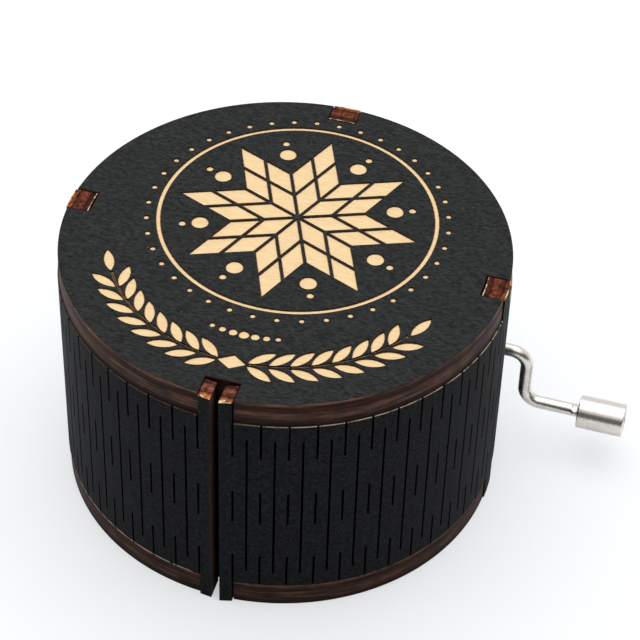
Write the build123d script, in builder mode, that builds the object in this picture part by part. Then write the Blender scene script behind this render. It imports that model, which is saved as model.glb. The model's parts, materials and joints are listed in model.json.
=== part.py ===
from build123d import *
import os
from math import asin, atan, cos, degrees, pi, radians, sin

os.makedirs("parts", exist_ok=True)

# Round plywood music box with a hand crank. Millimetres, +Z up.
# The origin is the centre of the underside. The crank stands out towards +X, and the front,
# where the two ends of the bent side meet, faces -Y.

# case
disc_radius = 38.0
disc_thickness = 4.8
case_height = 48.0
side_thickness = 3.9
wall_proud = 0.25
wall_radius = disc_radius + wall_proud
wall_bottom = disc_thickness
wall_top = case_height - disc_thickness
wall_height = wall_top - wall_bottom
wall_middle = case_height / 2

# columns of cuts that let the side bend: a column of short cuts, then one long cut, and so on
kerf = 0.36
first_column = 4.35
column_count = 105
column_pitch = (360 - 2 * first_column) / (column_count - 1)
edge_cut = 7.5
middle_cut = 7.4
long_cut_margin = 3.35
long_cut = wall_height - 2 * long_cut_margin

# tabs on the side and their notches in the discs: the two halves at the seam share a notch
tab_width = 4.8
seam_tab_width = 5.6
tab_widths = {0: tab_width, 90: tab_width, 180: tab_width, 270: seam_tab_width}
tab_inset = 0.15
notch_play = 0.3
notch_depth = 4.0
notch_floor = disc_radius - notch_depth
seam_gap = 1.5
seam_flare_right = 0.7
seam_flare_left = 0.45
seam_spring = 0.25

# crank
axis_y = 15.2
axis_z = 20.0
wire_radius = 1.15
throw = 11.2
leg_x = 40.6
bend_radius = 3.0
wire_start = 18.8
wall_hole_radius = 1.8
knob_start = 50.8
knob_length = 8.3
knob_end = knob_start + knob_length
knob_radius = 3.0
knob_edge = 0.25
knob_recess_radius = 1.95
knob_recess_depth = 1.1
rivet_radius = 1.75
rivet_thickness = 0.7
rivet_round = 0.4
stop_ear = (0.9, 3.1, 1.9)
end_play = 0.15

# worm and wheel
gear_module = 0.62
wheel_teeth = 18
axial_pitch = pi * gear_module
wheel_pitch_radius = gear_module * wheel_teeth / 2
worm_pitch_radius = 2.6
centre_distance = wheel_pitch_radius + worm_pitch_radius
tip_above_pitch = 0.55
root_below_pitch = 0.7
tooth_root_width = 1.1
tooth_tip_width = 0.42
wheel_face = 2.4
worm_turns = 3

# cylinder and its arbor
run = 0.06
seat = 0.03
arbor_x = 8.0
arbor_z = axis_z - centre_distance
arbor_radius = 1.0
arbor_chamfer = 0.25
arbor_start = -15.6
arbor_end = 21.0
cylinder_radius = 5.9
cylinder_bore = 4.9
cylinder_start = -10.4
cylinder_end = 11.6
pin_height = 0.6
pin_width = 0.42
notes = 18
note_pitch = 1.1
pins_per_note = 4
pin_turn = 47.0
pin_stagger = 23.0
cap_flange = 0.6
cap_spigot = 1.4
cap_hub_radius = 2.0
washer_radius = 2.6
washer_thickness = 0.7
root_overlap = 0.15
wheel_hub_radius = 3.2

# comb
comb_middle = (cylinder_start + cylinder_end) / 2
comb_width = notes * note_pitch
comb_thickness = 1.2
comb_above_arbor = 0.3
comb_top = arbor_z + comb_above_arbor
comb_bottom = comb_top - comb_thickness
comb_clearance = 0.15
comb_tip = arbor_x - cylinder_radius - pin_height - comb_clearance
comb_back = -18.0
comb_slot = 0.3
bass_root = -9.4
treble_root = -4.6
filed_start = 1.2
comb_bevel = 1.5
tooth_thickness = 0.6
comb_screw_x = -14.2
comb_screw_spread = 12.0
weighted_teeth = 7
weight_inset = 0.4
weight_length = 3.0
weight_width = 0.6
weight_height = 1.5

# cast frame of the movement
foot_height = 0.6
foot_radius = 3.0
plate_bottom = disc_thickness + foot_height
plate_thickness = 2.0
plate_top = plate_bottom + plate_thickness
plate_width = 38.0
plate_length = 44.0
plate_middle = 3.0
plate_corner = 4.0
boss_height = 1.6
boss_top = plate_top + boss_height
mounting_points = [(-15.0, -14.6), (-15.0, 20.6), (15.8, -14.6)]
ledge_front = -10.0
ledge_margin = 0.6
window_width = 13.8
window_start = -12.0
window_end = 17.9
window_corner = 2.0
mounting_screw_reach = 1.0
mounting_screw_top = plate_top + mounting_screw_reach

# bearings
front_post_y = -14.6
front_post_thickness = 1.8
front_post_half_width = 4.2
post_round = 3.4
foot_plate = 1.8
foot_length = 4.4
back_wall_y = 18.4
back_wall_thickness = 2.0
ear_left = 0.8
ear_right = 15.2
ear_thickness = 2.2
ear_round = 3.2
back_wall_above_arbor = 4.0
back_wall_top = arbor_z + back_wall_above_arbor
shaft_radius = 1.25
shaft_start = -3.2
socket_gap = 0.3
socket_start = ear_right + ear_thickness + socket_gap
socket_end = 24.6
socket_radius = 2.2
clip_gap = 0.2
clip_x = ear_left - ear_thickness - clip_gap
clip_thickness = 0.6
clip_groove_radius = 0.9
clip_radius = 2.4

# screws
screw_radius = 1.0
screw_head_radius = 1.9
screw_head_height = 1.2
screw_slot = 0.5
comb_screw_depth = 2.4
driver_cross = 2.6
driver_depth = 0.8
mounting_screw_radius = 1.25
mounting_head_radius = 2.5
mounting_head_sink = 0.3
wall_screw_spread = 10.0
countersink_angle = 90
front_washer_y = front_post_y + front_post_thickness + run
front_hub_length = cylinder_start - cap_flange - front_washer_y - washer_thickness
wheel_hub_length = axis_y - wheel_face / 2 - cylinder_end - cap_flange
comb_screw_points = [(comb_screw_x, comb_middle + side * comb_screw_spread / 2) for side in (-1, 1)]
post_screw_points = [(arbor_x, front_post_y - foot_length / 2)]
wall_screw_y = back_wall_y + back_wall_thickness + foot_length / 2
wall_screw_points = [(arbor_x + side * wall_screw_spread / 2, wall_screw_y) for side in (-1, 1)]


def on_circle(radius, angle):
    return (radius * cos(radians(angle)), radius * sin(radians(angle)))


def column_angle(index):
    return -90 + first_column + index * column_pitch


def wall_corners(radius):
    """Corners of one face of the side, from seam to seam: it folds at each column of cuts."""
    last = column_count - 1
    half_gap = degrees(asin(seam_gap / 2 / radius))
    corners = [on_circle(radius + seam_flare_right, -90 + half_gap)]
    for index in range(column_count):
        spring = seam_spring if index in (0, last) else 0.0
        corners.append(on_circle(radius + spring, column_angle(index)))
    corners.append(on_circle(radius + seam_flare_left, 270 - half_gap))
    return corners


def wall_section():
    """Section of the side, open at the seam."""
    outer = wall_corners(wall_radius)
    inner = wall_corners(wall_radius - side_thickness)
    with BuildLine() as outline:
        Polyline(*outer, *reversed(inner), close=True)
    make_face(outline.line)


def cut_columns(first):
    """Every second column of cuts, from the one numbered first, on the current plane."""
    for index in range(first, column_count, 2):
        with Locations(Location((0, 0, 0), (0, 0, column_angle(index)))):
            with Locations((wall_radius - side_thickness / 2, 0)):
                Rectangle(2 * side_thickness, kerf)


def tab_places(play):
    """Plan of the four places where tabs stand in notches, wider by the play."""
    with BuildSketch() as places:
        for angle, width in tab_widths.items():
            with PolarLocations(notch_floor, 1, start_angle=angle):
                Rectangle(2 * side_thickness, width + play, align=(Align.MIN, Align.CENTER))
    return places.sketch


def plywood_disc(level):
    """Disc with a notch in its rim for each tab of the side."""
    with BuildSketch(Plane.XY.offset(level)) as face:
        Circle(disc_radius)
        add(tab_places(notch_play), mode=Mode.SUBTRACT)
    extrude(face.sketch, amount=disc_thickness)


def across(y):
    """Plane across the cylinder's arbor."""
    return Plane(origin=(arbor_x, y, arbor_z), x_dir=(1, 0, 0), z_dir=(0, 1, 0))


def along(x, z=axis_z):
    """Plane across the crank's axis, or across the knob's at a lower z."""
    return Plane(origin=(x, axis_y, z), x_dir=(0, 1, 0), z_dir=(1, 0, 0))


def ring(plane, outer, inner, length):
    """A plain ring or, with no inner radius, a disc, standing on a plane."""
    with BuildSketch(plane) as face:
        Circle(outer)
        if inner:
            Circle(inner, mode=Mode.SUBTRACT)
    extrude(face.sketch, amount=length)


def finish(piece, name):
    piece.part.label = name
    export_step(piece.part, f"parts/{name}.step")


# plywood discs
with BuildPart() as top_disc:
    plywood_disc(wall_top)

finish(top_disc, "top_disc")

with BuildPart() as bottom_disc:
    plywood_disc(0)
    underside = [Plane(origin=(x, y, 0), z_dir=(0, 0, -1)) for x, y in mounting_points]
    with Locations(*underside):
        CounterSinkHole(
            mounting_screw_radius + run,
            mounting_head_radius + mounting_head_sink + run,
            counter_sink_angle=countersink_angle,
        )

finish(bottom_disc, "bottom_disc")


# bent plywood side
with BuildPart() as side_wrap:
    with BuildSketch(Plane.XY.offset(wall_bottom)):
        wall_section()
    extrude(amount=wall_height)
    for level in (tab_inset, wall_top):
        with BuildSketch(Plane.XY.offset(level)):
            wall_section()
            add(tab_places(0), mode=Mode.INTERSECT)
        extrude(amount=disc_thickness - tab_inset)
    with BuildSketch(Plane.XY.offset(wall_middle - long_cut / 2)):
        cut_columns(1)
    extrude(amount=long_cut, mode=Mode.SUBTRACT)
    with BuildSketch(Plane.XY.offset(wall_middle - middle_cut / 2)):
        cut_columns(0)
    extrude(amount=middle_cut, mode=Mode.SUBTRACT)
    for level in (wall_bottom, wall_top - edge_cut):
        with BuildSketch(Plane.XY.offset(level)):
            cut_columns(0)
        extrude(amount=edge_cut, mode=Mode.SUBTRACT)
    with BuildSketch(along(0)):
        Circle(wall_hole_radius)
    extrude(amount=2 * disc_radius, mode=Mode.SUBTRACT)

finish(side_wrap, "side_wrap")


# cast frame: base plate with a window under the cylinder, comb ledge, feet and screw bosses
with BuildPart() as movement_frame:
    with BuildSketch(Plane.XY.offset(plate_bottom)):
        with Locations((0, plate_middle)):
            RectangleRounded(plate_width, plate_length, plate_corner)
        with Locations((arbor_x, (window_start + window_end) / 2)):
            RectangleRounded(
                window_width,
                window_end - window_start,
                window_corner,
                mode=Mode.SUBTRACT,
            )
    extrude(amount=plate_thickness)
    with BuildSketch(Plane.XY.offset(plate_top)):
        with Locations((comb_back - ledge_margin, comb_middle)):
            Rectangle(
                ledge_front - comb_back + ledge_margin,
                comb_width + 2 * ledge_margin,
                align=(Align.MIN, Align.CENTER),
            )
    extrude(amount=comb_bottom - plate_top)
    with BuildSketch(Plane.XY.offset(disc_thickness)):
        with Locations(*mounting_points):
            Circle(foot_radius)
    extrude(amount=boss_top - disc_thickness)
    with BuildSketch(Plane.XY.offset(disc_thickness)):
        with Locations(*mounting_points):
            Circle(mounting_screw_radius + seat)
    extrude(amount=mounting_screw_top - disc_thickness, mode=Mode.SUBTRACT)
    with BuildSketch(Plane.XY.offset(comb_bottom)):
        with Locations(*comb_screw_points):
            Circle(screw_radius + seat)
    extrude(amount=-comb_screw_depth, mode=Mode.SUBTRACT)
    with BuildSketch(Plane.XY.offset(plate_top)):
        with Locations(*post_screw_points, *wall_screw_points):
            Circle(screw_radius + seat)
    extrude(amount=-plate_thickness, mode=Mode.SUBTRACT)

finish(movement_frame, "movement_frame")


# steel comb: a thick back and eighteen teeth filed thin, long for the low notes
def tooth_root(tooth):
    """Where the slot beside a tooth ends: the low notes have the longer teeth."""
    return bass_root + (treble_root - bass_root) * tooth / notes


with BuildPart() as comb:
    low_side = comb_middle - comb_width / 2
    high_side = comb_middle + comb_width / 2
    with BuildSketch(Plane.XY.offset(comb_bottom)):
        with BuildLine():
            Polyline(
                (comb_back + comb_bevel, low_side),
                (comb_tip, low_side),
                (comb_tip, high_side),
                (comb_back + comb_bevel, high_side),
                (comb_back, high_side - comb_bevel),
                (comb_back, low_side + comb_bevel),
                close=True,
            )
        make_face()
        for tooth in range(1, notes):
            root = tooth_root(tooth)
            with Locations((root, low_side + tooth * note_pitch)):
                Rectangle(
                    comb_tip - root,
                    comb_slot,
                    align=(Align.MIN, Align.CENTER),
                    mode=Mode.SUBTRACT,
                )
        with Locations(*comb_screw_points):
            Circle(screw_radius + run, mode=Mode.SUBTRACT)
    extrude(amount=comb_thickness)
    with BuildSketch(Plane.XY.offset(comb_bottom)):
        with BuildLine():
            Polyline(
                (bass_root + filed_start, low_side),
                (comb_tip, low_side),
                (comb_tip, high_side),
                (treble_root + filed_start, high_side),
                close=True,
            )
        make_face()
    extrude(amount=comb_thickness - tooth_thickness, mode=Mode.SUBTRACT)

finish(comb, "comb")


# lead weights under the tips of the low teeth, shorter and thinner from one tooth to the next
with BuildPart() as comb_weights:
    for tooth in range(weighted_teeth):
        share = 1 - tooth / (weighted_teeth + 2)
        length = weight_length * share
        height = weight_height * share
        place = (comb_tip - weight_inset, low_side + (tooth + 0.5) * note_pitch, comb_top - tooth_thickness)
        with Locations(place):
            Box(length, weight_width, height, align=(Align.MAX, Align.CENTER, Align.MAX))

finish(comb_weights, "comb_weights")


def slotted_screw(x, y, z, depth):
    """Cheese-head screw standing on its seat at z, with a slot for the driver."""
    with BuildSketch(Plane.XY.offset(z)) as shank:
        with Locations((x, y)):
            Circle(screw_radius)
    extrude(shank.sketch, amount=-depth)
    with BuildSketch(Plane.XY.offset(z)) as head:
        with Locations((x, y)):
            Circle(screw_head_radius)
    extrude(head.sketch, amount=screw_head_height)
    with BuildSketch(Plane.XY.offset(z + screw_head_height)) as slot:
        with Locations((x, y)):
            Rectangle(2 * screw_head_radius, screw_slot)
    extrude(slot.sketch, amount=-screw_slot, mode=Mode.SUBTRACT)


with BuildPart() as comb_screws:
    for x, y in comb_screw_points:
        slotted_screw(x, y, comb_top, comb_thickness + comb_screw_depth)

finish(comb_screws, "comb_screws")


# post that holds the front end of the arbor, on its own foot
with BuildPart() as front_bearing:
    with BuildSketch(across(front_post_y)):
        with Locations((0, arbor_z - plate_top)):
            Rectangle(2 * front_post_half_width, arbor_z - plate_top, align=(Align.CENTER, Align.MAX))
        Circle(post_round)
        Circle(arbor_radius + run, mode=Mode.SUBTRACT)
    extrude(amount=front_post_thickness)
    with BuildSketch(Plane.XY.offset(plate_top)):
        with Locations((arbor_x, front_post_y)):
            Rectangle(2 * front_post_half_width, foot_length, align=(Align.CENTER, Align.MAX))
        with Locations(*post_screw_points):
            Circle(screw_radius + run, mode=Mode.SUBTRACT)
    extrude(amount=foot_plate)

finish(front_bearing, "front_bearing")

with BuildPart() as bearing_screws:
    for x, y in post_screw_points + wall_screw_points:
        slotted_screw(x, y, plate_top + foot_plate, foot_plate + plate_thickness)

finish(bearing_screws, "bearing_screws")


# bracket behind the wheel: its wall holds the arbor, its two ears hold the crank's shaft
with BuildPart() as gear_bracket:
    with BuildSketch(Plane.XY.offset(plate_top)):
        with Locations((arbor_x, back_wall_y)):
            Rectangle(
                ear_right - ear_left + 2 * ear_thickness,
                back_wall_thickness,
                align=(Align.CENTER, Align.MIN),
            )
    extrude(amount=back_wall_top - plate_top)
    for ear_x in (ear_left - ear_thickness, ear_right):
        with BuildSketch(along(ear_x)) as ear:
            Circle(ear_round)
            with Locations((0, 0)):
                Rectangle(2 * ear_round, axis_z - plate_top, align=(Align.CENTER, Align.MAX))
                Rectangle(
                    back_wall_y + back_wall_thickness - axis_y,
                    axis_z - plate_top,
                    align=(Align.MIN, Align.MAX),
                )
        extrude(amount=ear_thickness)
    with BuildSketch(Plane.XY.offset(plate_top)):
        with Locations((arbor_x, back_wall_y + back_wall_thickness)):
            Rectangle(
                ear_right - ear_left + 2 * ear_thickness,
                foot_length,
                align=(Align.CENTER, Align.MIN),
            )
    extrude(amount=foot_plate)
    with BuildSketch(Plane.XY.offset(plate_top)):
        with Locations(*wall_screw_points):
            Circle(screw_radius + run)
    extrude(amount=foot_plate, mode=Mode.SUBTRACT)
    with BuildSketch(across(back_wall_y)):
        Circle(arbor_radius + run)
    extrude(amount=back_wall_thickness, mode=Mode.SUBTRACT)
    with BuildSketch(along(ear_left - ear_thickness)):
        Circle(shaft_radius + run)
    extrude(amount=ear_right - ear_left + 2 * ear_thickness, mode=Mode.SUBTRACT)

finish(gear_bracket, "gear_bracket")


# screws that hold the movement to the bottom disc, their heads sunk in its underside
with BuildPart() as mounting_screws:
    for x, y in mounting_points:
        with BuildSketch(Plane(origin=(x, y, 0), x_dir=(1, 0, 0), z_dir=(0, -1, 0))) as half:
            with BuildLine():
                head_top = mounting_head_sink + mounting_head_radius - mounting_screw_radius
                Polyline(
                    (0, mounting_head_sink),
                    (mounting_head_radius, mounting_head_sink),
                    (mounting_screw_radius, head_top),
                    (mounting_screw_radius, mounting_screw_top),
                    (0, mounting_screw_top),
                    close=True,
                )
            make_face()
        revolve(axis=Axis((x, y, 0), (0, 0, 1)))
    with BuildSketch(Plane.XY.offset(mounting_head_sink)):
        for angle in (0, 90):
            with Locations(*mounting_points):
                Rectangle(driver_cross, screw_slot, rotation=angle)
    extrude(amount=driver_depth, mode=Mode.SUBTRACT)

finish(mounting_screws, "mounting_screws")


# steel arbor through the cylinder, its ends in the front bearing and the bracket's wall
with BuildPart() as cylinder_arbor:
    ring(across(arbor_start), arbor_radius, 0, arbor_end - arbor_start)
    chamfer(cylinder_arbor.edges().filter_by(GeomType.CIRCLE), length=arbor_chamfer)

finish(cylinder_arbor, "cylinder_arbor")


# brass cylinder with its pins: each note's pins stand on one ring, in an even scatter
def pin_places():
    places = []
    for note in range(notes):
        y = low_side + (note + 0.5) * note_pitch
        for pin in range(pins_per_note):
            angle = pin_turn * note + 360 / pins_per_note * pin + pin_stagger * (pin % 2)
            places.append(Location((arbor_x, y, arbor_z), (0, angle, 0)))
    return places


with BuildPart() as cylinder:
    ring(across(cylinder_start), cylinder_radius, cylinder_bore, cylinder_end - cylinder_start)
    with Locations(*pin_places()):
        with Locations((cylinder_radius - pin_height, 0, 0)):
            Box(2 * pin_height, pin_width, pin_width, align=(Align.MIN, Align.CENTER, Align.CENTER))

finish(cylinder, "cylinder")


# the two caps that centre the cylinder on its arbor, the front one with a hub
with BuildPart() as cylinder_caps:
    ring(across(cylinder_start), cylinder_bore - seat, 0, cap_spigot)
    ring(across(cylinder_start - cap_flange), cylinder_radius, 0, cap_flange)
    ring(across(front_washer_y + washer_thickness), cap_hub_radius, 0, front_hub_length)
    ring(across(cylinder_end - cap_spigot), cylinder_bore - seat, 0, cap_spigot)
    ring(across(cylinder_end), cylinder_radius, 0, cap_flange)
    with BuildSketch(across(arbor_start)):
        Circle(arbor_radius + seat)
    extrude(amount=arbor_end - arbor_start, mode=Mode.SUBTRACT)

finish(cylinder_caps, "cylinder_caps")

with BuildPart() as thrust_washer:
    ring(across(front_washer_y), washer_radius, arbor_radius + seat, washer_thickness)

finish(thrust_washer, "thrust_washer")


# moulded wheel that the worm turns: at rest the thread stands in the gap on its top
with BuildPart() as worm_wheel:
    root_radius = wheel_pitch_radius - root_below_pitch
    first_tooth = 90 + 180 / wheel_teeth
    tooth_height = root_below_pitch + tip_above_pitch
    flank = 90 - degrees(atan((tooth_root_width - tooth_tip_width) / 2 / tooth_height))
    with BuildSketch(across(axis_y - wheel_face / 2)):
        Circle(root_radius)
        with PolarLocations(root_radius - root_overlap, wheel_teeth, start_angle=first_tooth):
            Trapezoid(
                tooth_root_width,
                tooth_height + root_overlap,
                flank,
                rotation=-90,
                align=(Align.CENTER, Align.MIN),
            )
    extrude(amount=wheel_face)
    ring(across(cylinder_end + cap_flange), wheel_hub_radius, 0, wheel_hub_length)
    ring(across(axis_y + wheel_face / 2), cap_hub_radius, 0, back_wall_y - axis_y - wheel_face / 2 - run)
    with BuildSketch(across(cylinder_end)):
        Circle(arbor_radius + seat)
    extrude(amount=back_wall_y - cylinder_end, mode=Mode.SUBTRACT)

finish(worm_wheel, "worm_wheel")


# worm: one thread wound on a sleeve, in mesh with the wheel at rest
with BuildPart() as worm:
    sleeve_radius = worm_pitch_radius - root_below_pitch
    thread_start = arbor_x - worm_turns * axial_pitch / 2
    ring(along(ear_left + run), sleeve_radius, 0, ear_right - ear_left - 2 * run)
    with BuildLine() as thread_path:
        Helix(
            axial_pitch,
            worm_turns * axial_pitch,
            sleeve_radius,
            center=(thread_start, axis_y, axis_z),
            direction=(1, 0, 0),
        )
    start = Plane(origin=thread_path.line @ 0, x_dir=(0, 0, 1), z_dir=thread_path.line % 0)
    with BuildSketch(start):
        with BuildLine():
            Polyline(
                (-root_overlap, -tooth_root_width / 2),
                (tooth_height, -tooth_tip_width / 2),
                (tooth_height, tooth_tip_width / 2),
                (-root_overlap, tooth_root_width / 2),
                close=True,
            )
        make_face()
    sweep(path=thread_path.line, is_frenet=True)
    with BuildSketch(along(ear_left)):
        Circle(shaft_radius + seat)
    extrude(amount=ear_right - ear_left, mode=Mode.SUBTRACT)

finish(worm, "worm")


# steel shaft of the worm, with the socket that takes the crank's wire
with BuildPart() as worm_shaft:
    ring(along(shaft_start), shaft_radius, 0, socket_start - shaft_start)
    ring(along(socket_start), socket_radius, 0, socket_end - socket_start)
    with BuildSketch(along(wire_start)):
        Circle(wire_radius + seat)
    extrude(amount=socket_end - wire_start, mode=Mode.SUBTRACT)
    with BuildSketch(along(clip_x - clip_thickness)):
        Circle(shaft_radius + seat)
        Circle(clip_groove_radius, mode=Mode.SUBTRACT)
    extrude(amount=clip_thickness, mode=Mode.SUBTRACT)

finish(worm_shaft, "worm_shaft")

with BuildPart() as shaft_clip:
    with BuildSketch(along(clip_x - clip_thickness)):
        Circle(clip_radius)
        Circle(clip_groove_radius + seat, mode=Mode.SUBTRACT)
        Rectangle(
            2 * clip_groove_radius,
            clip_radius,
            align=(Align.CENTER, Align.MAX),
            mode=Mode.SUBTRACT,
        )
    extrude(amount=clip_thickness)

finish(shaft_clip, "shaft_clip")


# crank: one wire bent twice, with flattened stop ears and a rivet head that keep the knob on
def quarter_bend(start, centre, turn):
    """Bend of the wire from a plane, about a line along Y."""
    with BuildSketch(start) as section:
        Circle(wire_radius)
    revolve(section.sketch, axis=Axis(centre, (0, turn, 0)), revolution_arc=90)


with BuildPart() as crank_wire:
    knob_z = axis_z - throw
    rivet_start = knob_end - knob_recess_depth + end_play
    upper_bend = leg_x - bend_radius
    lower_bend = leg_x + bend_radius
    leg_foot = Plane(origin=(leg_x, axis_y, knob_z + bend_radius))
    ring(along(wire_start), wire_radius, 0, upper_bend - wire_start)
    quarter_bend(along(upper_bend), (upper_bend, axis_y, axis_z - bend_radius), 1)
    ring(leg_foot, wire_radius, 0, throw - 2 * bend_radius)
    quarter_bend(leg_foot, (lower_bend, axis_y, knob_z + bend_radius), -1)
    ring(along(lower_bend, knob_z), wire_radius, 0, rivet_start - lower_bend)
    ring(along(rivet_start, knob_z), rivet_radius, 0, rivet_thickness)
    fillet(crank_wire.faces().sort_by(Axis.X)[-1].edges(), radius=rivet_round)
    with Locations((knob_start - end_play, axis_y, knob_z)):
        Box(*stop_ear, align=(Align.MAX, Align.CENTER, Align.CENTER))

finish(crank_wire, "crank_wire")


# turned knob, free to spin on the wire's end
with BuildPart() as crank_knob:
    ring(along(knob_start, knob_z), knob_radius, wire_radius + run, knob_length)
    with BuildSketch(along(knob_end, knob_z)):
        Circle(knob_recess_radius)
    extrude(amount=-knob_recess_depth, mode=Mode.SUBTRACT)
    rims = crank_knob.edges().filter_by(GeomType.CIRCLE).group_by(SortBy.RADIUS)[-1]
    chamfer(rims, length=knob_edge)

finish(crank_knob, "crank_knob")
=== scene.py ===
import json
import math

import bmesh
import bpy
from mathutils import Matrix, Vector


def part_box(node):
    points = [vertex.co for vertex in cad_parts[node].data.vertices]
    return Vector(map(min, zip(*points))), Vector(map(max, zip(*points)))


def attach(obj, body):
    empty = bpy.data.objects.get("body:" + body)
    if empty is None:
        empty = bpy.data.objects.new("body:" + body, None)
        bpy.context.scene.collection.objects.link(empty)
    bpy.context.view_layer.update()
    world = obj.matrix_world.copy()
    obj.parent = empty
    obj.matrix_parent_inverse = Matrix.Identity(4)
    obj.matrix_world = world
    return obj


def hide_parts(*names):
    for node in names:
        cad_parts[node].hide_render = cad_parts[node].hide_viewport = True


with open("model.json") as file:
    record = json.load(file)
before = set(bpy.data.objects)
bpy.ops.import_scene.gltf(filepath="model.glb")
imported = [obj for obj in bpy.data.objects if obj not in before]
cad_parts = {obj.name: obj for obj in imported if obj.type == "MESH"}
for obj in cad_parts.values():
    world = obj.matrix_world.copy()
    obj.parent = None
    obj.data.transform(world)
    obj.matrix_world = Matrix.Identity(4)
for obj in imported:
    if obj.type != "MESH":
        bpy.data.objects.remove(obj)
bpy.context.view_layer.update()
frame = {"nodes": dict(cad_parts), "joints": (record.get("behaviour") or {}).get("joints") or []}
mm = 0.001
print("frame loaded")


# The pieces are drawn in millimetres and scaled to metres when their meshes are made. The studio
# is in metres.


# ways to lay out a mesh

def addLoop(bm, points, z):
    return [bm.verts.new((x, y, z)) for x, y in points]


def loopEdges(bm, loop):
    pairs = zip(loop, loop[1:] + loop[:1])
    return [bm.edges.get(pair) or bm.edges.new(pair) for pair in pairs]


def bridge(bm, first, second, slot):
    for i in range(len(first)):
        face = bm.faces.new((first[i - 1], first[i], second[i], second[i - 1]))
        face.material_index = slot


def fill(bm, loops, slot):
    edges = [edge for loop in loops for edge in loopEdges(bm, loop)]
    made = bmesh.ops.triangle_fill(bm, edges=edges, use_beauty=True, normal=(0, 0, 1))
    for part in made["geom"]:
        if isinstance(part, bmesh.types.BMFace):
            part.material_index = slot


def makeObject(bm, name, materials, sharpAngle=35):
    bmesh.ops.recalc_face_normals(bm, faces=bm.faces)
    mesh = bpy.data.meshes.new(name)
    bm.to_mesh(mesh)
    bm.free()
    mesh.transform(Matrix.Scale(mm, 4))
    for material in materials:
        mesh.materials.append(material)
    mesh.polygons.foreach_set("use_smooth", [True] * len(mesh.polygons))
    mesh.set_sharp_from_angle(angle=math.radians(sharpAngle))
    piece = bpy.data.objects.new(name, mesh)
    bpy.context.scene.collection.objects.link(piece)
    return piece


def polar(radius, degrees):
    angle = math.radians(degrees)
    return (radius * math.cos(angle), radius * math.sin(angle))


def circle(radius, steps):
    return [polar(radius, 360 * i / steps) for i in range(steps)]


def quarterTurns(steps):
    # angles from none to a quarter turn
    return [math.pi / 2 * i / steps for i in range(steps + 1)]


def placed(points, spot, heading):
    turn = Matrix.Rotation(math.radians(heading), 2)
    return [tuple(turn @ Vector(point) + Vector(spot)) for point in points]


# ways to lay out a material

def put(tree, socket, value):
    if isinstance(value, bpy.types.NodeSocket):
        tree.links.new(value, socket)
    else:
        socket.default_value = value


def maths(tree, operation, first, second=0.0, clamp=False):
    made = tree.nodes.new("ShaderNodeMath")
    made.operation = operation
    made.use_clamp = clamp
    put(tree, made.inputs[0], first)
    put(tree, made.inputs[1], second)
    return made.outputs[0]


def step(tree, value, low, high):
    # smooth step from 0 at low to 1 at high
    made = tree.nodes.new("ShaderNodeMapRange")
    made.interpolation_type = "SMOOTHSTEP"
    put(tree, made.inputs["Value"], value)
    made.inputs["From Min"].default_value = low
    made.inputs["From Max"].default_value = high
    return made.outputs["Result"]


def between(tree, value, low, high):
    # value from 0 to 1, spread over low to high
    made = tree.nodes.new("ShaderNodeMapRange")
    put(tree, made.inputs["Value"], value)
    made.inputs["To Min"].default_value = low
    made.inputs["To Max"].default_value = high
    return made.outputs["Result"]


def product(tree, *values):
    made = values[0]
    for value in values[1:]:
        made = maths(tree, "MULTIPLY", made, value)
    return made


def vectorMaths(tree, operation, first, *second):
    made = tree.nodes.new("ShaderNodeVectorMath")
    made.operation = operation
    for socket, value in zip(made.inputs, (first, *second)):
        put(tree, socket, value)
    return made.outputs["Value" if operation in ("DOT_PRODUCT", "LENGTH") else "Vector"]


def opaque(color):
    # a colour written as three values gets its fourth
    return color if isinstance(color, bpy.types.NodeSocket) else (*color, 1)


def mixColor(tree, share, first, second, blend="MIX"):
    made = tree.nodes.new("ShaderNodeMix")
    made.data_type = "RGBA"
    made.blend_type = blend
    put(tree, made.inputs[0], share)
    put(tree, made.inputs[6], opaque(first))
    put(tree, made.inputs[7], opaque(second))
    return made.outputs[2]


def mixValue(tree, share, first, second):
    made = tree.nodes.new("ShaderNodeMix")
    put(tree, made.inputs[0], share)
    put(tree, made.inputs[2], first)
    put(tree, made.inputs[3], second)
    return made.outputs[0]


def colorRamp(tree, value, stops):
    made = tree.nodes.new("ShaderNodeValToRGB")
    put(tree, made.inputs[0], value)
    elements = made.color_ramp.elements
    while len(elements) < len(stops):
        elements.new(0.5)
    for element, (position, color) in zip(elements, stops):
        element.position = position
        element.color = opaque(color)
    return made.outputs["Color"]


def stretched(tree, place, scale):
    return vectorMaths(tree, "MULTIPLY", place, scale)


def millimetres(tree):
    # the place of a point on the piece, in millimetres
    place = tree.nodes.new("ShaderNodeTexCoord").outputs["Object"]
    return stretched(tree, place, (1 / mm, 1 / mm, 1 / mm))


def noiseAt(tree, place, scale, detail=3.0, roughness=0.55):
    made = tree.nodes.new("ShaderNodeTexNoise")
    tree.links.new(place, made.inputs["Vector"])
    made.inputs["Scale"].default_value = scale
    made.inputs["Detail"].default_value = detail
    made.inputs["Roughness"].default_value = roughness
    return made.outputs["Fac"]


def axesOf(tree, vector):
    made = tree.nodes.new("ShaderNodeSeparateXYZ")
    tree.links.new(vector, made.inputs[0])
    return made.outputs


def flatRadius(tree, place):
    return vectorMaths(tree, "LENGTH", stretched(tree, place, (1, 1, 0)))


def relief(tree, height, depth):
    # depth in millimetres
    made = tree.nodes.new("ShaderNodeBump")
    made.inputs["Strength"].default_value = 1.0
    made.inputs["Distance"].default_value = depth * mm
    tree.links.new(height, made.inputs["Height"])
    return made.outputs["Normal"]


def newMaterial(name):
    material = bpy.data.materials.new(name)
    material.use_nodes = True
    material.node_tree.nodes.clear()
    return material, material.node_tree


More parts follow.
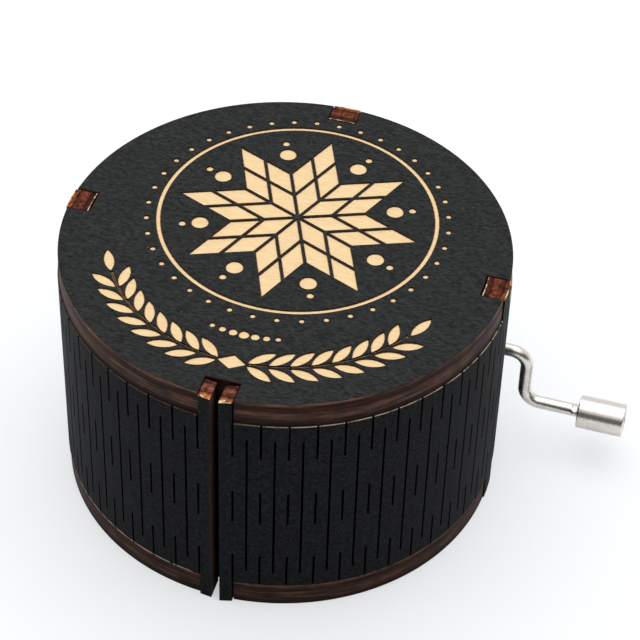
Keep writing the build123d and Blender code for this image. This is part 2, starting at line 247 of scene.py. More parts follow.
def surface(tree, color, roughness, normal=None, metallic=0.0, specular=0.5):
    shader = tree.nodes.new("ShaderNodeBsdfPrincipled")
    output = tree.nodes.new("ShaderNodeOutputMaterial")
    put(tree, shader.inputs["Base Color"], color)
    put(tree, shader.inputs["Roughness"], roughness)
    shader.inputs["Metallic"].default_value = metallic
    shader.inputs["Specular IOR Level"].default_value = specular
    if normal:
        tree.links.new(normal, shader.inputs["Normal"])
    tree.links.new(shader.outputs[0], output.inputs["Surface"])
    return shader


# the sheet: stained black on its faces, burnt on its cut edges, pale where it is engraved

stain = {
    "dark": (0.0022, 0.0024, 0.0026),
    "light": (0.0300, 0.0328, 0.0322),
    "strands": {"scale": 1.0, "detail": 3, "roughness": 0.6},  # the grain, from dark to light
    "strandSpan": (0.36, 0.66),
    "cloud": (0.0090, 0.0094, 0.0100),  # wide even patches over the grain
    "clouds": {"scale": 0.11, "detail": 3},
    "cloudShare": 0.35,
    "dust": (0.13, 0.13, 0.12),  # pale flecks
    "flecks": {"scale": 2.9, "detail": 2},
    "fleckSpan": (0.69, 0.75),
    "fleckShare": 0.7,
    "pores": {"scale": 2.6, "detail": 2},
    "poreSpan": (0.3, 0.42),
    "poreDepth": 0.6,
    "roughness": (0.5, 0.75),
    "relief": 0.07,
    "shine": 0.12,
    "topGrain": (1.1, 2.7, 2.7),
    "sideShine": 0.05,
    "sideGrain": (1.7, 1.7, 2.0),
    "sidePaintedShade": (0.52, 0.53, 0.62),  # painted shade: the side is painted this much darker and bluer than the top
}


def stainColors(tree, place, grain):
    # grain: how close the grain lies along each axis. Gives colour, roughness and height.
    drawn = stretched(tree, place, grain)
    strands = noiseAt(tree, drawn, **stain["strands"])
    clouds = between(tree, noiseAt(tree, place, **stain["clouds"]), 0.0, stain["cloudShare"])
    flecks = step(tree, noiseAt(tree, place, **stain["flecks"]), *stain["fleckSpan"])
    pores = step(tree, noiseAt(tree, drawn, **stain["pores"]), *stain["poreSpan"])
    first, last = stain["strandSpan"]
    color = colorRamp(tree, strands, [(first, stain["dark"]), (last, stain["light"])])
    color = mixColor(tree, clouds, color, stain["cloud"])
    color = mixColor(tree, product(tree, flecks, stain["fleckShare"]), color, stain["dust"])
    roughness = between(tree, strands, *stain["roughness"])
    height = maths(tree, "ADD", strands, product(tree, pores, stain["poreDepth"]))
    return color, roughness, height


# colours on a cut edge by depth, from the sheet's back at 0 to its face at 1; on the discs' rims
# the band at the back is the darkest

rimLayers = {
    "top": [
        (0.0, (0.0120, 0.0050, 0.0038)), (0.18, (0.0140, 0.0056, 0.0042)),
        (0.27, (0.0420, 0.0230, 0.0172)), (0.58, (0.0500, 0.0275, 0.0210)),
        (0.66, (0.0200, 0.0064, 0.0043)), (0.87, (0.0230, 0.0070, 0.0045)),
        (0.93, (0.0520, 0.0260, 0.0190)), (0.99, (0.0720, 0.0400, 0.0310)),
    ],
    "bottom": [
        (0.0, (0.0085, 0.0048, 0.0040)), (0.2, (0.0140, 0.0070, 0.0052)),
        (0.3, (0.0380, 0.0205, 0.0150)), (0.6, (0.0380, 0.0205, 0.0150)),
        (0.68, (0.0200, 0.0080, 0.0056)), (0.84, (0.0220, 0.0085, 0.0060)),
        (0.9, (0.0700, 0.0270, 0.0190)), (0.98, (0.0800, 0.0320, 0.0220)),
    ],
}

tabLayers = [
    (0.0, (0.26, 0.15, 0.09)), (0.05, (0.052, 0.017, 0.010)), (0.19, (0.046, 0.014, 0.008)),
    (0.23, (0.010, 0.005, 0.004)), (0.28, (0.075, 0.023, 0.012)), (0.5, (0.140, 0.045, 0.022)),
    (0.7, (0.070, 0.022, 0.011)), (0.76, (0.013, 0.006, 0.004)), (0.82, (0.160, 0.052, 0.016)),
    (0.97, (0.215, 0.072, 0.022)),
]

burnt = {
    "wobble": {"scale": 0.5, "detail": 3},
    "wobbleReach": 0.07,  # how far the layers wander, as a share of the thickness
    "streaks": {"scale": 1.0, "detail": 4, "roughness": 0.6},
    "streakShades": [(0.34, (0.22, 0.19, 0.18)), (0.68, (2.7, 2.4, 2.2))],
    "soot": (0.0085, 0.0050, 0.0042),
    "smudges": {"scale": 0.45, "detail": 4},  # where soot lies
    "smudgeSpan": (0.42, 0.68),
    "smudgeShare": 0.5,
    # laser char, painted nearly black as painted shade in the narrow cuts
    "charAndPaintedShade": (0.0022, 0.0020, 0.0020),
    # painted shade: the notches' walls are painted this darker brown
    "notch": (0.0260, 0.0085, 0.0050),
    "notchInset": 0.3,  # what lies this far inside the rim is a notch
    "paleChip": (0.72, 0.53, 0.34),
    "bareWood": (0.50, 0.42, 0.32),
    # painted shade: the bare line of worn wood where it is dim
    "bareWoodInPaintedShade": (0.100, 0.072, 0.050),
    "dimEdge": (0.045, 0.029, 0.022),
    "seamFace": (0.095, 0.058, 0.040),
    "nearTabsPaintedLight": (1.0, 1.1, 1.28),  # painted light: multiplied on the front tabs' ends, greyer and a little paler
    "farTabsPaintedShade": (0.76, 0.68, 0.68),  # painted shade: multiplied on the others', darker
    "roughness": (0.42, 0.7),
    "relief": 0.05,
    "shine": 0.07,
    "rimStreaks": (0.14, 0.14, 1.9),
    "tabStreaks": (1.3, 1.3, 0.5),
}


def plyColors(tree, place, depth, layers, along):
    # depth: 0 at the sheet's back to 1 at its face. along: how the streaks run on each axis.
    drawn = stretched(tree, place, along)
    reach = burnt["wobbleReach"]
    wobble = between(tree, noiseAt(tree, drawn, **burnt["wobble"]), -reach, reach)
    streaks = noiseAt(tree, drawn, **burnt["streaks"])
    smudges = step(tree, noiseAt(tree, place, **burnt["smudges"]), *burnt["smudgeSpan"])
    color = colorRamp(tree, maths(tree, "ADD", depth, wobble), layers)
    color = mixColor(tree, 1.0, color, colorRamp(tree, streaks, burnt["streakShades"]), "MULTIPLY")
    color = mixColor(tree, product(tree, smudges, burnt["smudgeShare"]), color, burnt["soot"])
    return color, between(tree, streaks, *burnt["roughness"]), streaks


def stainedFace():
    material, tree = newMaterial("stainedFace")
    color, roughness, height = stainColors(tree, millimetres(tree), stain["topGrain"])
    surface(tree, color, roughness, relief(tree, height, stain["relief"]), specular=stain["shine"])
    return material


def burntRim(name, layers, low, high):
    # the rim of a disc: its plies lie flat, one on another, and its notches are painted darker as
    # painted shade
    material, tree = newMaterial(name)
    place = millimetres(tree)
    height = maths(tree, "SUBTRACT", axesOf(tree, place)["Z"], low)
    depth = maths(tree, "DIVIDE", height, high - low)
    color, roughness, streaks = plyColors(tree, place, depth, layers, burnt["rimStreaks"])
    # painted shade: the notches take one darker brown
    notchRadius = disc["radius"] - burnt["notchInset"]
    inNotch = maths(tree, "LESS_THAN", flatRadius(tree, place), notchRadius)
    color = mixColor(tree, inNotch, color, burnt["notch"])
    surface(tree, color, roughness, relief(tree, streaks, burnt["relief"]), specular=burnt["shine"])
    return material


engraving = {
    "depth": 0.25,
    "batter": 0.03,  # how far a wall leans in
    "wood": (0.80, 0.60, 0.335),
    "grainDark": (0.66, 0.45, 0.225),
    "grain": {"scale": 1.0, "detail": 5, "roughness": 0.6},
    "grainRun": (0.5, 3.4, 3.4),
    "grainSpan": (0.25, 0.62),
    "warm": (0.83, 0.58, 0.33),
    "patches": {"scale": 0.16, "detail": 2},
    "patchShare": 0.35,
    "lines": {"scale": 1.0, "detail": 2},
    "lineRun": (0.25, 7.0, 7.0),
    "lineDepth": 0.06,
    "roughness": (0.62, 0.85),
    "shine": 0.3,
    "scorch": (0.12, 0.045, 0.018),
    "scorchWidth": 0.34,
    "scorchMiddle": 0.45,  # share of the border where the scorch is halfway gone
    "scorchSpan": (0.25, 0.8),
    "scorchRagged": 0.28,
    "scorchNoise": 2.2,
    "deepScorch": (0.018, 0.009, 0.006),
    "deepSpan": (0.8, 1.05),
}


def engravedWood():
    # bare wood with its own grain, scorched along the edges of the engraving
    material, tree = newMaterial("engravedWood")
    place = millimetres(tree)
    grain = noiseAt(tree, stretched(tree, place, engraving["grainRun"]), **engraving["grain"])
    lines = noiseAt(tree, stretched(tree, place, engraving["lineRun"]), **engraving["lines"])
    patches = noiseAt(tree, place, **engraving["patches"])
    first, last = engraving["grainSpan"]
    color = colorRamp(tree, grain, [(first, engraving["grainDark"]), (last, engraving["wood"])])
    patches = between(tree, patches, 0.0, engraving["patchShare"])
    color = mixColor(tree, patches, color, engraving["warm"])

    scorch = tree.nodes.new("ShaderNodeAttribute")
    scorch.attribute_name = "scorch"
    reach = engraving["scorchRagged"]
    ragged = between(tree, noiseAt(tree, place, engraving["scorchNoise"]), -reach, reach)
    burn = maths(tree, "ADD", scorch.outputs["Fac"], ragged)
    color = mixColor(tree, step(tree, burn, *engraving["scorchSpan"]), color, engraving["scorch"])
    color = mixColor(tree, step(tree, burn, *engraving["deepSpan"]), color, engraving["deepScorch"])
    roughness = between(tree, grain, *engraving["roughness"])
    bump = relief(tree, lines, engraving["lineDepth"])
    surface(tree, color, roughness, bump, specular=engraving["shine"])
    return material


side = {
    "radius": 38.25,
    "thickness": 3.9,
    "faceTurn": 0.75,  # least cosine to the outward direction on a face
    "levelTurn": 0.7,  # least cosine to the upright on an edge
    "edgeBand": 0.08,  # a level surface this near the side's edge is the edge
    "wear": {"scale": 0.8, "detail": 5, "roughness": 0.8},
    "wearRun": (1.0, 1.0, 0.4),
    "wearLift": 0.03,
    "wornSpan": (0.42, 0.56),
    "wornDepth": (0.955, 0.965),  # the bare line keeps to the outermost part of the edge
    "dimSpan": (0.3, 0.48),
    # spans of x over which painted light brightens the bare line, above and below (mm)
    "brightAbove": (1.0, 15.0),
    "brightBelow": (-2.0, -7.0),
    "chipAbove": 0.07,  # how far the bare line runs onto the face
    "chipBelow": 0.2,
    "chipSpan": (0.36, 0.5),
    "tabReach": 2.9,  # no bare line this near the middle of a tab
    "tabRise": 1.0,  # what stands this far past the side's edge is a tab
    # span of y over which the painted shade on the tabs' ends sets in, towards the back (mm)
    "tabFade": (-30.0, -5.0),
    "cornerChips": {"scale": 1.3, "detail": 4, "roughness": 0.75},
    "cornerSpan": (0.47, 0.56),
    "outerCorner": (0.93, 0.97),
    "innerCorner": (0.055, 0.02),
    "seamReach": 1.5,  # the seam's faces lie this near the middle of the front
    # span of depth over which the painted shade on the seam's faces gives way to their burnt brown
    "seamFade": (0.3, 0.8),
}


def measureSide(tree, bottom, top):
    # Where a point of the side is, and which way its surface faces. depth goes from 0 on the
    # inner face to 1 on the outer, facing is 1 straight outward, and within is the distance to
    # the nearer edge, below zero on the tabs.
    place = millimetres(tree)
    x, y, z = axesOf(tree, place)
    normal = tree.nodes.new("ShaderNodeNewGeometry").outputs["True Normal"]
    outward = vectorMaths(tree, "NORMALIZE", stretched(tree, place, (1, 1, 0)))
    tilt = maths(tree, "ABSOLUTE", axesOf(tree, normal)["Z"])
    inside = side["radius"] - side["thickness"]
    fromInside = maths(tree, "SUBTRACT", flatRadius(tree, place), inside)
    aboveBottom = maths(tree, "SUBTRACT", z, bottom)
    belowTop = maths(tree, "SUBTRACT", top, z)
    edges = [maths(tree, "ABSOLUTE", away) for away in (aboveBottom, belowTop)]
    return {
        "place": place,
        "x": x,
        "y": y,
        "depth": maths(tree, "DIVIDE", fromInside, side["thickness"]),
        "facing": vectorMaths(tree, "DOT_PRODUCT", outward, normal),
        "level": maths(tree, "GREATER_THAN", tilt, side["levelTurn"]),
        "within": maths(tree, "MINIMUM", aboveBottom, belowTop),
        "upper": maths(tree, "LESS_THAN", belowTop, aboveBottom),
        "fromEdge": maths(tree, "MINIMUM", *edges),
    }


def wornLine(tree, at):
    # the broken line of bare wood on the side's own two edges, worn through the stain, with painted
    # light and shade by place: brightest above towards the crank and below to the left of the seam,
    # dim elsewhere. Gives its colour and where it runs on the outer face.
    wear = noiseAt(tree, stretched(tree, at["place"], side["wearRun"]), **side["wear"])
    wear = maths(tree, "ADD", wear, side["wearLift"])
    # painted light and shade: the bare line is lit or dim by its place along x
    brightBelow = step(tree, at["x"], *side["brightBelow"])
    brightAbove = step(tree, at["x"], *side["brightAbove"])
    bright = mixValue(tree, at["upper"], brightBelow, brightAbove)
    bareWood = mixColor(tree, bright, burnt["bareWoodInPaintedShade"], burnt["bareWood"])
    dim = mixColor(tree, step(tree, wear, *side["dimSpan"]), burnt["soot"], burnt["dimEdge"])
    outermost = step(tree, at["depth"], *side["wornDepth"])
    worn = product(tree, step(tree, wear, *side["wornSpan"]), outermost)

    offAxis = maths(tree, "MINIMUM", *[maths(tree, "ABSOLUTE", at[axis]) for axis in "xy"])
    band = mixValue(tree, at["upper"], side["chipBelow"], side["chipAbove"])
    onFace = product(
        tree,
        maths(tree, "GREATER_THAN", offAxis, side["tabReach"]),
        maths(tree, "LESS_THAN", at["fromEdge"], band),
        maths(tree, "GREATER_THAN", at["facing"], side["faceTurn"]),
        step(tree, wear, *side["chipSpan"]),
    )
    return mixColor(tree, worn, dim, bareWood), onFace


def tabEnd(tree, at, edgeColor):
    # the ends of the tabs: darker towards the back as painted shade, greyer at the front as painted
    # light, with corners chipped to pale wood
    chips = step(tree, noiseAt(tree, at["place"], **side["cornerChips"]), *side["cornerSpan"])
    corners = [step(tree, at["depth"], *side[corner]) for corner in ("outerCorner", "innerCorner")]
    chipped = product(tree, maths(tree, "ADD", *corners, clamp=True), chips)
    # painted shade: the tabs' ends darken towards the back and turn greyer at the front
    far = step(tree, at["y"], *side["tabFade"])
    shade = mixColor(tree, far, burnt["nearTabsPaintedLight"], burnt["farTabsPaintedShade"])
    color = mixColor(tree, 1.0, edgeColor, shade, "MULTIPLY")
    return mixColor(tree, chipped, color, burnt["paleChip"])


def cutWall(tree, at):
    # the walls of the cuts are charred, and painted nearly black as painted shade in the narrow
    # cuts; the two faces at the seam are only burnt, and painted darker inward as painted shade in
    # the gap
    nearSeam = product(
        tree,
        maths(tree, "LESS_THAN", maths(tree, "ABSOLUTE", at["x"]), side["seamReach"]),
        maths(tree, "LESS_THAN", at["y"], 0.0),
    )
    # painted shade: the seam's faces darken inward, into the gap
    outer = step(tree, at["depth"], *side["seamFade"])
    brown = mixColor(tree, outer, burnt["soot"], burnt["seamFace"])
    return mixColor(tree, nearSeam, burnt["charAndPaintedShade"], brown)


def bentSheet(bottom, top):
    # the side: its plies lie one round another, so the layers go by the distance from the middle
    material, tree = newMaterial("bentSheet")
    at = measureSide(tree, bottom, top)
    place, depth = at["place"], at["depth"]
    face, faceRough, faceHeight = stainColors(tree, place, stain["sideGrain"])
    layers, streaks = tabLayers, burnt["tabStreaks"]
    edge, edgeRough, edgeHeight = plyColors(tree, place, depth, layers, streaks)
    worn, wornFace = wornLine(tree, at)

    nearEdge = maths(tree, "LESS_THAN", at["fromEdge"], side["edgeBand"])
    beyond = maths(tree, "LESS_THAN", at["within"], -side["tabRise"])
    wall = mixColor(tree, product(tree, at["level"], nearEdge), cutWall(tree, at), worn)
    edge = mixColor(tree, product(tree, at["level"], beyond), wall, tabEnd(tree, at, edge))
    # painted shade: the side's face is darkened against the top
    face = mixColor(tree, 1.0, face, stain["sidePaintedShade"], "MULTIPLY")
    face = mixColor(tree, wornFace, face, worn)

    turned = maths(tree, "ABSOLUTE", at["facing"])
    onFace = maths(tree, "GREATER_THAN", turned, side["faceTurn"])
    color = mixColor(tree, onFace, edge, face)
    roughness = mixValue(tree, onFace, edgeRough, faceRough)
    bump = relief(tree, mixValue(tree, onFace, edgeHeight, faceHeight), stain["relief"])
    surface(tree, color, roughness, bump, specular=stain["sideShine"])
    return material


# outlines of engraved shapes, each drawn inset from its edge by a given width

def insetShare(long, short, inset):
    # how much of a rhomb is left when its four sides move in
    return 1 - inset * math.hypot(long, short) / (long * short)


def rhombusOutline(spot, heading, long, short):
    def drawn(inset):
        share = insetShare(long, short, inset)
        corners = [(long * share, 0), (0, short * share), (-long * share, 0), (0, -short * share)]
        return placed(corners, spot, heading)
    return drawn


def leafOutline(spot, heading, long, short, steps=12):
    # two bows that meet in points
    bow = (long * long + short * short) / (2 * short)
    back = bow - short

    def drawn(inset):
        reach = bow - inset
        half = math.acos(back / reach)
        angles = [half - 2 * half * i / steps for i in range(steps)]
        flank = [(reach * math.sin(a), reach * math.cos(a) - back) for a in angles]
        return placed(flank + [(-x, -y) for x, y in flank], spot, heading)
    return drawn


def dotOutline(spot, radius, steps=28):
    def drawn(inset):
        return placed(circle(radius - inset, steps), spot, 0)
    return drawn


def arcOutline(radius, width, start, end, steps=24):
    def drawn(inset):
        trim = math.degrees(inset / radius)
        angles = [start + trim + (end - start - 2 * trim) * i / steps for i in range(steps + 1)]
        outer = [polar(radius + width / 2 - inset, a) for a in angles]
        inner = [polar(radius - width / 2 + inset, a) for a in reversed(angles)]
        return outer + inner
    return drawn


star = {
    "middle": (0.0, 7.0),
    "arms": 8,
    "armRhombs": ((1, 0), (3, 0), (2, 1), (2, -1)),  # half lengths ahead, half widths aside
    "side": 11.6,
    "gap": 0.36,
    "dotReach": 16.6,
    "dotRadius": 1.55,
    "seedReach": 19.6,
    "seedRadius": 0.7,
    "seedSteps": 16,
    "ringRadius": 23.6,
    "ringWidth": 0.9,
    "ringSteps": 144,
    "beadReach": 25.6,
    "beadRadius": 0.55,
    "beadSteps": 14,
    "beads": 40,
}


def starShapes():
    # an eight-armed star of rhombs, four to an arm, with dots between the arms. Gives the shapes
    # inside the ring and those outside it.
    half = 180 / star["arms"]
    long = star["side"] * math.cos(math.radians(half)) / 2
    short = star["side"] * math.sin(math.radians(half)) / 2
    share = insetShare(long, short, star["gap"] / 2)
    middle = Vector(star["middle"])
    inner, outer = [], []
    for arm in range(star["arms"]):
        heading = arm * 360 / star["arms"]
        forward = Vector(polar(1, heading))
        sideways = Vector(polar(1, heading + 90))
        for ahead, aside in star["armRhombs"]:
            spot = middle + forward * long * ahead + sideways * short * aside
            inner.append(rhombusOutline(spot, heading, long * share, short * share))
        valley = Vector(polar(1, heading + half))
        inner.append(dotOutline(middle + valley * star["dotReach"], star["dotRadius"]))
        seed = middle + valley * star["seedReach"]
        inner.append(dotOutline(seed, star["seedRadius"], star["seedSteps"]))
    for reach in circle(star["beadReach"], star["beads"]):
        outer.append(dotOutline(middle + Vector(reach), star["beadRadius"], star["beadSteps"]))
    return inner, outer


def ringLine(radius):
    return placed(circle(radius, star["ringSteps"]), star["middle"], 0)


garland = {
    "radius": 29.6,
    "start": 7.0,
    "reach": 60.0,
    "stemStart": 5.2,
    "stemShort": 1.5,
    "stemWidth": 0.5,
    "pairs": 8,
    "pairShift": 0.3,
    "leafLong": 2.75,
    "leafShort": 0.95,
    "leafAside": 1.75,
    "leafLean": 34.0,
    "tipAhead": 4.2,
    "knotLong": 2.6,
    "knotShort": 1.7,
    "swagRadius": 23.2,
    "swagDots": 7,
    "swagPitch": 4.6,
    "swagSize": 0.95,
    "swagShrink": 0.13,
    "swagSteps": 20,
}


def garlandShapes():
    # a stem with paired leaves to each side of a knot at the front, and a swag of dots above it
    front = -90
    radius = garland["radius"]
    leaf = garland["leafLong"], garland["leafShort"]
    pitch = (garland["reach"] - garland["start"]) / garland["pairs"]
    stem = garland["stemStart"], garland["reach"] - garland["stemShort"]
    shapes = []
    for hand in (-1, 1):
        ends = sorted(front + hand * end for end in stem)
        shapes.append(arcOutline(radius, garland["stemWidth"], *ends))
        for pair in range(garland["pairs"]):
            angle = front + hand * (garland["start"] + pitch * (pair + garland["pairShift"]))
            for lean in (-1, 1):
                spot = polar(radius + lean * garland["leafAside"], angle)
                heading = angle + 90 * hand - hand * lean * garland["leafLean"]
                shapes.append(leafOutline(spot, heading, *leaf))
        tip = front + hand * (garland["reach"] + garland["tipAhead"])
        shapes.append(leafOutline(polar(radius, tip), tip + 90, *leaf))
    knot = garland["knotLong"], garland["knotShort"]
    shapes.append(rhombusOutline(polar(radius, front), 0, *knot))
    for i in range(garland["swagDots"]):
        off = i - (garland["swagDots"] - 1) / 2
        size = garland["swagSize"] - garland["swagShrink"] * abs(off)
        spot = polar(garland["swagRadius"], front + off * garland["swagPitch"])
        shapes.append(dotOutline(spot, size, garland["swagSteps"]))
    return shapes


# the two discs

disc = {
    "radius": 38.0,
    "notchWidths": (5.1, 5.1, 5.1, 5.9),  # right, back, left, front
    "notchFloor": 34.0,
    "quarterSteps": 72,
    "arris": 0.1,
}
faceSlot, rimSlot, woodSlot = 0, 1, 2  # where a disc's materials stand in its mesh


def discOutline(inset):
    # round the rim from notch to notch
    radius = disc["radius"] - inset
    floor = disc["notchFloor"] - inset
    steps = disc["quarterSteps"]
    halves = [width / 2 + inset for width in disc["notchWidths"]]
    points = []
    for quarter in range(4):
        heading, half, after = 90 * quarter, halves[quarter], halves[(quarter + 1) % 4]
        lip = math.sqrt(radius * radius - half * half)
        notch = [(lip, -half), (floor, -half), (floor, half), (lip, half)]
        points += placed(notch, (0, 0), heading)
        start = heading + math.degrees(math.asin(half / radius))
        end = heading + 90 - math.degrees(math.asin(after / radius))
        points += [polar(radius, start + (end - start) * i / steps) for i in range(1, steps)]
    return points


def makeRim(bm, start, end):
    # the rim of a disc from one face to the other, with a fine arris at each. Gives its two edges.
    arris = math.copysign(disc["arris"], end - start)
    rows = [(disc["arris"], start), (0, start + arris), (0, end - arris), (disc["arris"], end)]
    loops = [addLoop(bm, discOutline(inset), z) for inset, z in rows]
    for first, second in zip(loops, loops[1:]):
        bridge(bm, first, second, rimSlot)
    return loops[0], loops[-1]


def cutPocket(bm, outline, top, level):
    # one engraved shape: its wall and the scorched border of its floor. Gives its edge in the
    # face and the border's inner edge.
    low = top - engraving["depth"]
    border = engraving["scorchWidth"]
    rows = [
        (0, top, 1.0),
        (engraving["batter"], low, 1.0),
        (border * engraving["scorchMiddle"], low, 0.5),
        (border, low, 0.0),
    ]
    loops = []
    for inset, z, burn in rows:
        loop = addLoop(bm, outline(inset), z)
        for vert in loop:
            vert[level] = burn
        loops.append(loop)
    for first, second in zip(loops, loops[1:]):
        bridge(bm, first, second, woodSlot)
    return loops[0], loops[-1]


def makeTopPanel(low, high):
    bm = bmesh.new()
    level = bm.verts.layers.float.new("scorch")
    outer = star["ringRadius"] + star["ringWidth"] / 2
    inner = star["ringRadius"] - star["ringWidth"] / 2
    outerEdge, outerFloor = cutPocket(bm, lambda inset: ringLine(outer - inset), high, level)
    innerEdge, innerFloor = cutPocket(bm, lambda inset: ringLine(inner + inset), high, level)
    bridge(bm, outerFloor, innerFloor, woodSlot)

    inside, outside = starShapes()
    outside += garlandShapes()
    edges = {"inside": [innerEdge], "outside": [outerEdge]}
    for where, shapes in (("inside", inside), ("outside", outside)):
        for outline in shapes:
            edge, floor = cutPocket(bm, outline, high, level)
            fill(bm, [floor], woodSlot)
            edges[where].append(edge)

    rimTop, rimBottom = makeRim(bm, high, low)
    fill(bm, [rimTop] + edges["outside"], faceSlot)
    fill(bm, edges["inside"], faceSlot)
    fill(bm, [rimBottom], faceSlot)
    rim = burntRim("burntRimTop", rimLayers["top"], low, high)
    return makeObject(bm, "topPanel", [blackFace, rim, engravedWood()])


countersink = {
    "places": [(-15.0, -14.6), (-15.0, 20.6), (15.8, -14.6)],
    "mouth": 2.86,
    "bore": 1.31,
    "steps": 48,
}


def makeBottomPanel(low, high):
    bm = bmesh.new()
    rimBottom, rimTop = makeRim(bm, low, high)
    neck = low + countersink["mouth"] - countersink["bore"]
    mouths, ends = [], []
    for spot in countersink["places"]:
        loops = []
        for size, z in (("mouth", low), ("bore", neck), ("bore", high)):
            outline = dotOutline(spot, countersink[size], countersink["steps"])
            loops.append(addLoop(bm, outline(0), z))
        for first, second in zip(loops, loops[1:]):
            bridge(bm, first, second, rimSlot)
        mouths.append(loops[0])
        ends.append(loops[-1])
    fill(bm, [rimBottom] + mouths, faceSlot)
    fill(bm, [rimTop] + ends, faceSlot)
    rim = burntRim("burntRimBottom", rimLayers["bottom"], low, high)
    return makeObject(bm, "bottomPanel", [blackFace, rim])


blackFace = stainedFace()
topLow, topHigh = [corner.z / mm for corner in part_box("top_disc")]
bottomLow, bottomHigh = [corner.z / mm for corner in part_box("bottom_disc")]

topPanel = makeTopPanel(topLow, topHigh)
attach(topPanel, "case")
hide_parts("top_disc")

bottomPanel = makeBottomPanel(bottomLow, bottomHigh)
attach(bottomPanel, "case")
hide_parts("bottom_disc")
print("discs made")


# bright nickel plate, a little warm, with fine marks along or round the piece

nickel = {
    "color": (0.74, 0.705, 0.65),
    "worn": (0.66, 0.62, 0.56),
    "wornSpan": (0.4, 0.75),
    "haze": {"scale": 0.7, "detail": 3},
    "marks": {"scale": 1.0, "detail": 4, "roughness": 0.7},
    "roughness": (0.24, 0.38),
}


def nickelPlate(name, run, depth):
    # run: how close the marks lie along each axis
    material, tree = newMaterial(name)
    place = millimetres(tree)
    marks = noiseAt(tree, stretched(tree, place, run), **nickel["marks"])
    haze = noiseAt(tree, place, **nickel["haze"])
    worn = step(tree, haze, *nickel["wornSpan"])
    color = mixColor(tree, worn, nickel["color"], nickel["worn"])
    roughness = between(tree, product(tree, marks, haze), *nickel["roughness"])
    surface(tree, color, roughness, relief(tree, marks, depth), metallic=1.0)
    return material


crank = {
    "wireRadius": 1.15,
    "legX": 40.6,
    "bendRadius": 3.0,
    "around": 40,
    "bendSteps": 20,
    "earMiddle": 50.15,
    "earHalf": 0.6,
    "earWide": 1.38,
    "earThin": 0.92,
    "earFullness": 0.6,
    "earSteps": 12,
    "headInset": 0.95,
    "rivetRadius": 1.75,
    "rivetChamfer": 0.06,
    "rivetDome": 0.42,
    "rivetSteps": 8,
    "marks": (2.2, 2.2, 2.2),
    "markDepth": 0.004,
    "sharpAngle": 40,
}


def crankStations():
    # centre, direction and half sizes of the wire's sections, from the socket to the rivet
    start, end = [corner.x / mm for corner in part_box("crank_wire")]
    joints = {joint["name"]: joint["pos_m"] for joint in frame["joints"]}
    y, high = joints["crank_turn"][1] / mm, joints["crank_turn"][2] / mm
    low = joints["knob_spin"][2] / mm
    wire, bend, leg = crank["wireRadius"], crank["bendRadius"], crank["legX"]

    stations = [((start, y, high), 0.0, wire, wire)]
    turns = quarterTurns(crank["bendSteps"])
    for level, down, way in ((high, 1, turns), (low, -1, turns[::-1])):
        for turn in way:
            x = leg - down * bend * (1 - math.sin(turn))
            z = level - down * bend * (1 - math.cos(turn))
            stations.append(((x, y, z), turn, wire, wire))

    # the ears: the wire pinched flat in front of the knob
    for i in range(crank["earSteps"] + 1):
        off = 2 * i / crank["earSteps"] - 1
        swell = math.cos(off * math.pi / 2) ** crank["earFullness"] if abs(off) < 1 else 0.0
        wide, thin = [wire + (crank[size] - wire) * swell for size in ("earWide", "earThin")]
        stations.append(((crank["earMiddle"] + off * crank["earHalf"], y, low), 0.0, wide, thin))

    # the rivet's head, which stands in the knob's recess
    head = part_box("crank_knob")[1].x / mm - crank["headInset"]
    rivet, dome, chamfer = crank["rivetRadius"], crank["rivetDome"], crank["rivetChamfer"]
    outline = [(head, wire), (head, rivet - chamfer), (head + chamfer, rivet)]
    for turn in quarterTurns(crank["rivetSteps"]):
        outline.append((end - dome * (1 - math.sin(turn)), rivet - dome * (1 - math.cos(turn))))
    return stations + [((x, y, low), 0.0, size, size) for x, size in outline]


def makeCrankRod():
    bm = bmesh.new()
    loops = []
    for centre, turn, wide, thin in crankStations():
        across = Vector((0, wide, 0))
        upward = Vector((math.sin(turn), 0, math.cos(turn))) * thin
        ring = circle(1, crank["around"])
        loops.append([bm.verts.new(Vector(centre) + across * a + upward * b) for a, b in ring])
    for first, second in zip(loops, loops[1:]):
        bridge(bm, first, second, 0)
    bm.faces.new(loops[0])
    bm.faces.new(loops[-1])
    plate = nickelPlate("nickelRod", crank["marks"], crank["markDepth"])
    return makeObject(bm, "crankRod", [plate], crank["sharpAngle"])


crankRod = makeCrankRod()
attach(crankRod, "crank")
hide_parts("crank_wire")


knob = {
    "bore": 1.21,
    "boreChamfer": 0.1,
    "recessRadius": 1.95,
    "recessDepth": 1.1,
    "recessLip": 0.12,
    "corner": 0.25,
    "cornerSteps": 5,
    "around": 96,
    "marks": (9.0, 0.6, 0.6),
    "markDepth": 0.0015,
    "sharpAngle": 40,
}


def knobProfile(start, end, radius):
    # places along the axis and radii round the section, from the bore's inner end
    bore, chamfer = knob["bore"], knob["boreChamfer"]
    recess, lip, floor = knob["recessRadius"], knob["recessLip"], end - knob["recessDepth"]
    turns = quarterTurns(knob["cornerSteps"])
    bend = [(knob["corner"] * (1 - math.cos(t)), knob["corner"] * (1 - math.sin(t))) for t in turns]
    profile = [(start, bore + chamfer)]
    profile += [(start + along, radius - inward) for along, inward in bend]
    profile += [(end - along, radius - inward) for along, inward in reversed(bend)]
    profile += [(end, recess + lip), (end - lip, recess), (floor, recess), (floor, bore)]
    return profile + [(start + chamfer, bore)]


